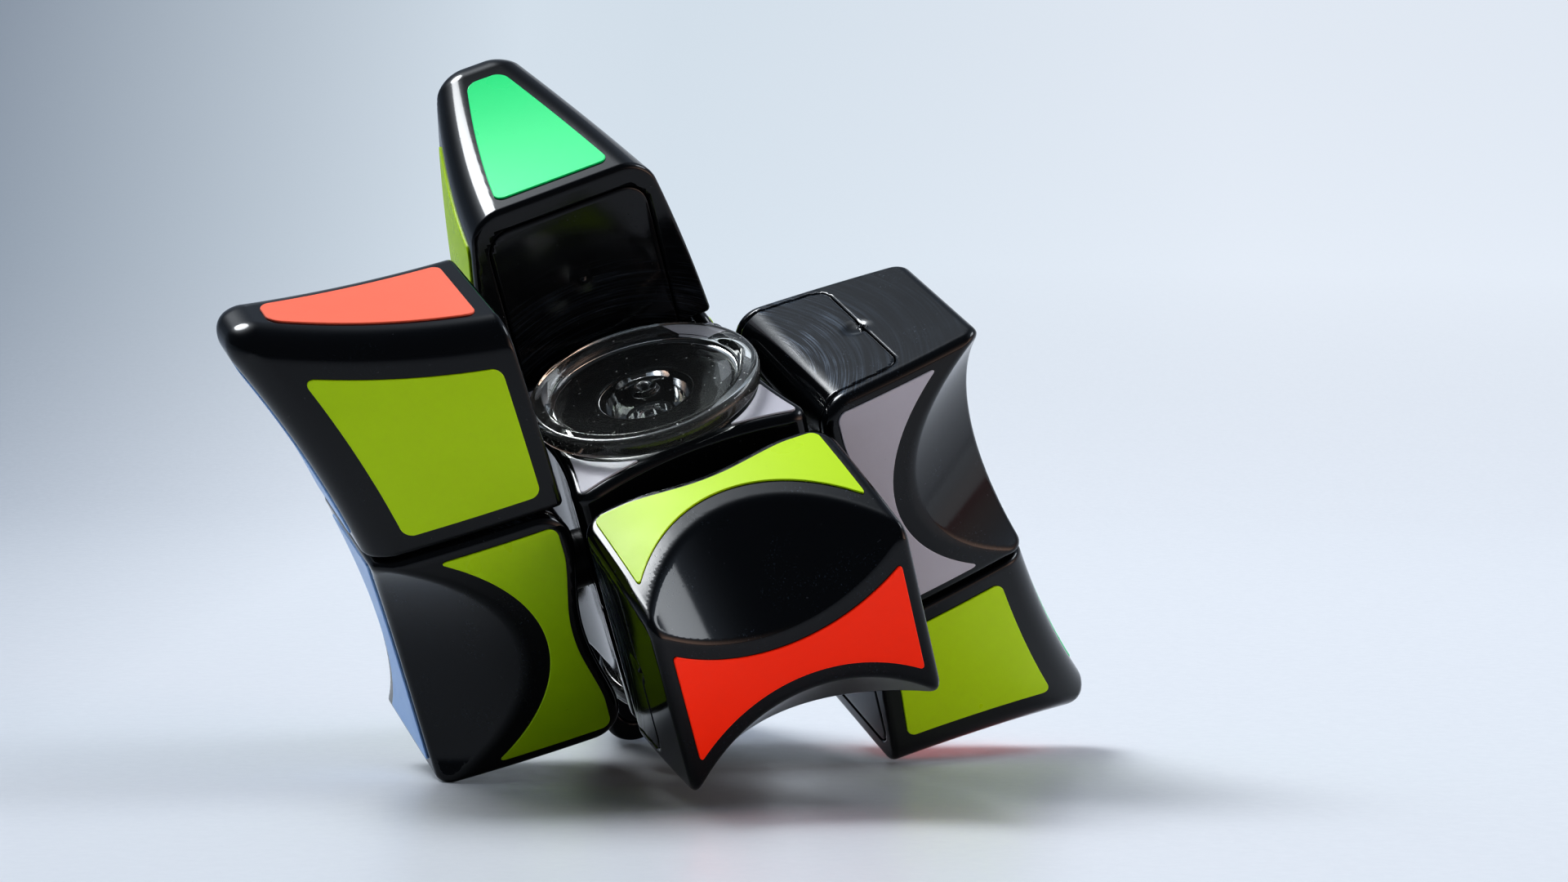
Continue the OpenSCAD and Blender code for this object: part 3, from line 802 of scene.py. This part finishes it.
CORE_BLACK = black_plastic("Core_plastic")
EDGE_BLACK = black_plastic("Edge_plastic", (("Y", HALF_W),), worn=0.34, chalk=0.7)
CORNER_BLACK = black_plastic("Corner_plastic", (("Y", INNER), ("X", INNER)))
CLEAR = clear_plastic("Clear_plastic")
VINYL = {
    "lime": sticker_vinyl("Lime_vinyl", (0.57, 0.83, 0.0)),
    "white": sticker_vinyl("White_vinyl", (0.56, 0.55, 0.60), clouded=0.96),
    # The red vinyl's brightness is partly a painted glow: a weak emission in its own colour that shines in
    # shade too
    "red": sticker_vinyl("Red_vinyl", (1.0, 0.04, 0.0), fluorescent_painted_glow=0.11),
    "orange": sticker_vinyl("Orange_vinyl", (1.0, 0.22, 0.13)),
    "green": sticker_vinyl("Green_vinyl", (0.02, 0.95, 0.30)),
    "blue": sticker_vinyl("Blue_vinyl", (0.36, 0.55, 0.88)),
}

# CAD nodes that stay, with their materials
NYLON = nylon("Satin_nylon", (0.02, 0.02, 0.022))
KEPT = {
    "core_spider": NYLON,
    "bearing_outer_ring": metal("Bearing_steel", (0.62, 0.62, 0.63), 0.16),
    "bearing_balls": metal("Ball_steel", (0.72, 0.72, 0.73), 0.07),
    "bearing_cage": metal("Cage_brass", (0.62, 0.46, 0.24), 0.3),
    "edge_springs": metal("Spring_steel", (0.52, 0.52, 0.54), 0.22),
    "edge_screws": metal("Screw_steel", (0.55, 0.55, 0.57), 0.2),
    "left_row_magnets": metal("Nickel", (0.68, 0.66, 0.62), 0.12),
}
KEPT["bearing_inner_ring"] = KEPT["bearing_outer_ring"]
KEPT["spring_washers"] = KEPT["edge_screws"]
for row in ("right_row", "back_row", "front_edge"):
    KEPT[row + "_magnets"] = KEPT["left_row_magnets"]
for node, material in KEPT.items():
    data = frame["nodes"][node].data
    data.materials.clear()
    data.materials.append(material)

# ---- Pieces ----

# Grid limits lie just outside each shape, off its planes of symmetry
COARSE = 1.0
H = 0.3 * COARSE
FINE = 0.2 * COARSE
y_lines = lines(-11.83, 11.85, H, ((-11.9, -10.4), (10.2, 11.9)), FINE)
z_lines = lines(-12.13, 12.15, H, ((-12.2, -9.8), (9.6, 12.2)), FINE)
x_lines = lines(11.33, 28.7, H, ((18.6, 21.8),), FINE)
shell_part = contour(edge_shell, x_lines, y_lines, z_lines)
foot_part = contour(edge_foot, x_lines[x_lines < 21], y_lines, lines(-9.93, 10, H, ((-1.6, 1.6),), FINE))
corner_lines = lines(11.33, 35.2, H, ((11.3, 13),), FINE)
corner_part = contour(corner_shell, corner_lines, corner_lines, z_lines)
cover_lines = lines(11.33, 26.8, H, ((11.3, 13), (17.6, 20.4)), FINE)
cover_part = contour(corner_cover, cover_lines, cover_lines, lines(-7.83, 7.9, H, ((-1.6, 1.6),), FINE))
star_lines = lines(-15.53, 15.6, H)
star = contour(core_shell, star_lines, star_lines, lines(-0.27, 12.1, H))

STEP = 0.14 * COARSE
edge_u, edge_v = lines(12.03, 28.2, STEP), lines(-11.03, 11.1, STEP)
side_u, side_v = lines(-11.03, 11.1, STEP), lines(-11.73, 11.8, STEP)
wide = lines(11.93, 35.1, STEP)
star_uv = lines(-15.03, 15.1, STEP)
EDGE_FACE = {k: sticker(edge_face_outline, on_face(k), edge_u, edge_v, k < 0) for k in (1, -1)}
CORNER_FACE = {k: sticker(corner_face_outline, on_face(k), wide, wide, k < 0) for k in (1, -1)}
EDGE_SIDE = sticker(edge_side_outline, on_side, side_u, side_v)
CORNER_SIDE = sticker(corner_side_outline, on_side, wide, side_v)
CENTRE_FACE = {k: sticker(centre_outline, on_face(k, CENTRE_RAISE), star_uv, star_uv, k < 0)
               for k in (1, -1)}
CORNER_END = mirrored(CORNER_SIDE)

for half, level in (("upper", 1), ("lower", -1)):
    flip = PUZZLE if level > 0 else PUZZLE @ turn(180, "X")
    piece(f"core_{half}_moulding", star, flip, "core",
          [f"core_{half}_shell"], CORE_BLACK)
for colour, level in (("white", 1), ("lime", -1)):
    piece(f"centre_{colour}_vinyl", CENTRE_FACE[level], PUZZLE, "core",
          [f"centre_{colour}_stickers"], VINYL[colour])

for row in ROWS:
    at, body = row_matrix(row), BODY[row]
    piece(f"{row}_edge_moulding", shell_part, at, body, [f"{row}_edge_shell"], EDGE_BLACK)
    piece(f"{row}_edge_foot_moulding", foot_part, at, body, [f"{row}_edge_foot"],
          EDGE_BLACK)

EDGE_SIDE_COLOUR = {"left": "blue", "front": "red", "right": "green", "back": "orange"}
for row, colour in EDGE_SIDE_COLOUR.items():
    piece(f"{row}_edge_side_vinyl", EDGE_SIDE, row_matrix(row), BODY[row],
          [f"{row}_edge_side_sticker"], VINYL[colour])

# Main face stickers: node, row, colour, edge level, then the level on each corner by its end
FACES = (
    ("left_row_lime_stickers", "left", "lime", -1, ((UPPER, -1),)),
    ("left_row_white_stickers", "left", "white", 1, ((UPPER, 1),)),
    ("front_edge_lime_sticker", "front", "lime", 1, ()),
    ("front_edge_white_sticker", "front", "white", -1, ()),
    ("right_row_lime_stickers", "right", "lime", -1, ((LOWER, 1),)),
    ("right_row_white_stickers", "right", "white", 1, ((LOWER, -1),)),
    ("back_row_lime_stickers", "back", "lime", 1, ((UPPER, -1), (LOWER, -1))),
    ("back_row_white_stickers", "back", "white", -1, ((UPPER, 1), (LOWER, 1))),
)
for node, row, colour, edge_level, corners in FACES:
    parts = [(*EDGE_FACE[edge_level], UPPER)] + [(*CORNER_FACE[k], end) for end, k in corners]
    piece(node.replace("sticker", "vinyl"), joined(*parts), row_matrix(row), BODY[row],
          [node], VINYL[colour])

# Corners: name, row, end, colour of the end sticker and of the outer side's sticker
CORNERS = (
    ("left", "left", UPPER, "orange", "blue"),
    ("right", "right", LOWER, "red", "green"),
    ("upper_back", "back", UPPER, "green", "red"),
    ("lower_back", "back", LOWER, "blue", "orange"),
)
for name, row, end, end_colour, side_colour in CORNERS:
    at, body = row_matrix(row) @ end, BODY[row]
    piece(f"{name}_corner_moulding", corner_part, at, body, [f"{name}_corner_shell"],
          CORNER_BLACK)
    piece(f"{name}_corner_cover_moulding", cover_part, at, body, [f"{name}_corner_cover"],
          CORNER_BLACK)
    # At the lower end the side that faces +X is the drawn corner's other side
    drawn = (CORNER_SIDE, CORNER_END) if end is LOWER else (CORNER_END, CORNER_SIDE)
    for which, part, colour in zip(("end", "side"), drawn, (end_colour, side_colour)):
        piece(f"{name}_corner_{which}_vinyl", part, at, body,
              [f"{name}_corner_{which}_sticker"], VINYL[colour])

# Finger cap from the axis outwards: button, groove, dish and rim
cap_top = (
    [(0, 0.82), (0.3, 0.84), (0.45, 0.98)] + arc(0.95, 0.95, 0.2, 90, 0, 6)
    + arc(1.4, 0.92, 0.22, 180, 270, 6)
    + [(3.2, 0.7), (5.2, 0.75), (6.8, 0.83)] + arc(7.5, 1.62, 0.78, 275, 345, 8)
    + arc(CAP_R - RIM_W + RIM, CAP_H - RIM, RIM, 165, 90, 8)
    + arc(CAP_R - RIM, CAP_H - RIM, RIM, 90, 0, 10)
    + arc(CAP_R - RIM, RIM, RIM, 0, -90, 8) + [(STEM_R + STEM_FILLET, 0)])
cap_top = [(r, z + CAP_BASE) for r, z in cap_top]
cap_stem = arc(STEM_R + STEM_FILLET, CAP_BASE - STEM_FILLET, STEM_FILLET, 90, 180, 5) + [
    (STEM_R, BEARING_HALF), (BORE_R - 0.02, BEARING_HALF), (BORE_R - 0.02, 0.02)]
upper = cap_top + cap_stem + [(SOCKET_R, 0.02), (SOCKET_R, SOCKET_TOP - 0.2), (SOCKET_R - 0.2, SOCKET_TOP),
                              (0, SOCKET_TOP)]
lower = cap_top + cap_stem + [(SOCKET_R - 0.03, 0.02), (SOCKET_R - 0.03, -SOCKET_TOP + 0.5),
                              (SOCKET_R - 0.3, -SOCKET_TOP + 0.25), (0, -SOCKET_TOP + 0.25)]
for name, profile, flip in (("upper_cap", upper, 0), ("lower_cap", lower, 180)):
    points, faces = lathe(profile)
    piece(name + "_clear", (points, faces, None), PUZZLE @ turn(flip, "X"), "spinner",
          [name], CLEAR, sharp=32)

# ---- Floor, light and camera ----

FLOOR_REACH = 3.0
SWEEP_AT = 0.34
SWEEP_R = 0.42
WALL_TOP = 0.6
LIGHT_AIM = (0, 0, 0.03)
FLOOR_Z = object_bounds()[0].z  # before the floor itself counts


def floor_mesh():
    """Floor that sweeps up into a low back wall behind the object."""
    profile = [(-FLOOR_REACH, 0), (-0.6, 0), (SWEEP_AT, 0)]
    profile += [(SWEEP_AT + SWEEP_R * math.sin(a), SWEEP_R - SWEEP_R * math.cos(a))
                for a in np.linspace(0.08, math.pi / 2, 20)]
    profile += [(SWEEP_AT + SWEEP_R, WALL_TOP)]
    xs = np.linspace(-FLOOR_REACH, FLOOR_REACH, 31)
    verts = [(x, y, z) for y, z in profile for x in xs]
    n = len(xs)
    faces = [(r * n + c, r * n + c + 1, (r + 1) * n + c + 1, (r + 1) * n + c)
             for r in range(len(profile) - 1) for c in range(n - 1)]
    mesh = bpy.data.meshes.new("studio_floor")
    mesh.from_pydata(verts, [], faces)
    mesh.polygons.foreach_set("use_smooth", [True] * len(faces))
    return mesh


floor_mat, floor_shader = tree_of("Floor_painted_shade_and_glow")
kit = Kit(floor_mat)
grain = kit.noise(900, 3, 0.6)
# Painted shade: the floor's and the wall's colours run from grey at the left to pale at the right
here = kit.add("SeparateXYZ", {0: kit.add("TexCoord").outputs["Object"]}).outputs
painted_shade_across = kit.span(here[0], -0.21, -0.06, 0, 1)
wall = kit.blend(kit.span(here[0], -0.02, 0.12, 0, 1),
                 kit.blend(painted_shade_across, (0.155, 0.185, 0.225), (0.45, 0.50, 0.545)), (0.515, 0.55, 0.595))
ground_painted_shade = kit.blend(painted_shade_across, (0.24, 0.27, 0.31), (0.62, 0.64, 0.67))
# Painted shade: the floor is darker in front of the object
ground_painted_shade = kit.blend(kit.span(here[1], -0.30, -0.07, 0, 1), (0.16, 0.17, 0.19), ground_painted_shade)
raised = kit.span(here[2], 0.0, 0.05, 0, 1)
# Painted glow: the raised wall has a near-black base colour and shines by its own emission in the painted
# grey-to-pale gradient
kit.wire(floor_shader, Base_Color=kit.blend(raised, ground_painted_shade, (0.03, 0.03, 0.035)),
         Roughness=kit.span(grain, 0.3, 0.7, 0.34, 0.42), Normal=kit.bump(grain, 0.1, 0.00005),
         Emission_Color=kit.blend(raised, (0.0, 0.0, 0.0), wall))
set_values(floor_shader, Emission_Strength=1.0, Specular_IOR_Level=0.25)
floor = bpy.data.objects.new("studio_floor", floor_mesh())
collection.objects.link(floor)
floor.location.z = FLOOR_Z
floor.data.materials.append(floor_mat)


def area_light(name, place, size, power, colour):
    data = bpy.data.lights.new(name, "AREA")
    data.shape = "ELLIPSE"
    data.size, data.size_y = size
    data.energy = power
    data.color = colour
    lamp = bpy.data.objects.new(name, data)
    collection.objects.link(lamp)
    lamp.location = place
    lamp.rotation_euler = (Vector(LIGHT_AIM) - Vector(place)).to_track_quat("-Z", "Y").to_euler()


area_light("window_softbox", (-0.49, 0.23, 0.87), (0.44, 0.44), 4.0, (0.96, 0.98, 1.0))
area_light("right_softbox", (0.66, 0.08, 0.74), (0.5, 0.34), 1.5, (0.94, 0.97, 1.0))

world = bpy.data.worlds.new("Studio")
bpy.context.scene.world = world
world.use_nodes = True
background = world.node_tree.nodes["Background"]
sky = Kit(world)
way = sky.add("TexCoord").outputs["Generated"]


def direction(azimuth, elevation):
    """Unit vector towards a direction in degrees; azimuth 0 is the front."""
    a, e = math.radians(azimuth), math.radians(elevation)
    return math.sin(a) * math.cos(e), -math.cos(a) * math.cos(e), math.sin(e)


def glow(azimuth, elevation, power):
    """Soft glow of the world round one direction, 0 to 1, narrower with more power."""
    aim = direction(azimuth, elevation)
    near = sky.add("VectorMath", {0: way, 1: aim}, operation="DOT_PRODUCT").outputs["Value"]
    return sky.math("POWER", sky.math("MAXIMUM", near, 0), power)


shade = sky.blend(glow(180, 20, 2), (0.085, 0.10, 0.12), (0.30, 0.34, 0.40))
# Glows on top of that: azimuth, elevation, power and colour
GLOWS = (
    (72, 2, 10, (2.4, 1.75, 1.45)),
    (112, 6, 60, (0.35, 0.04, 0.06)),
    (97, 50, 14, (0.75, 0.86, 1.0)),
    (-115, 58, 24, (4.2, 4.4, 4.6)),
)
for azimuth, elevation, power, colour in GLOWS:
    shade = sky.blend(glow(azimuth, elevation, power), shade, colour)
world.node_tree.links.new(shade, background.inputs["Color"])
background.inputs["Strength"].default_value = 1.0
bpy.context.scene.view_settings.view_transform = "Standard"
bpy.context.scene.view_settings.look = "High Contrast"

back = Vector(direction(AZIMUTH, ELEVATION))
camera = bpy.data.objects.new("camera", bpy.data.cameras.new("camera"))
collection.objects.link(camera)
camera.data.lens = LENS
camera.data.sensor_width = 36
camera.location = AIM + back * DISTANCE
roll = Quaternion((0, 0, 1), math.radians(ROLL))
camera.rotation_euler = ((-back).to_track_quat("-Z", "Y") @ roll).to_euler()
bpy.context.scene.camera = camera
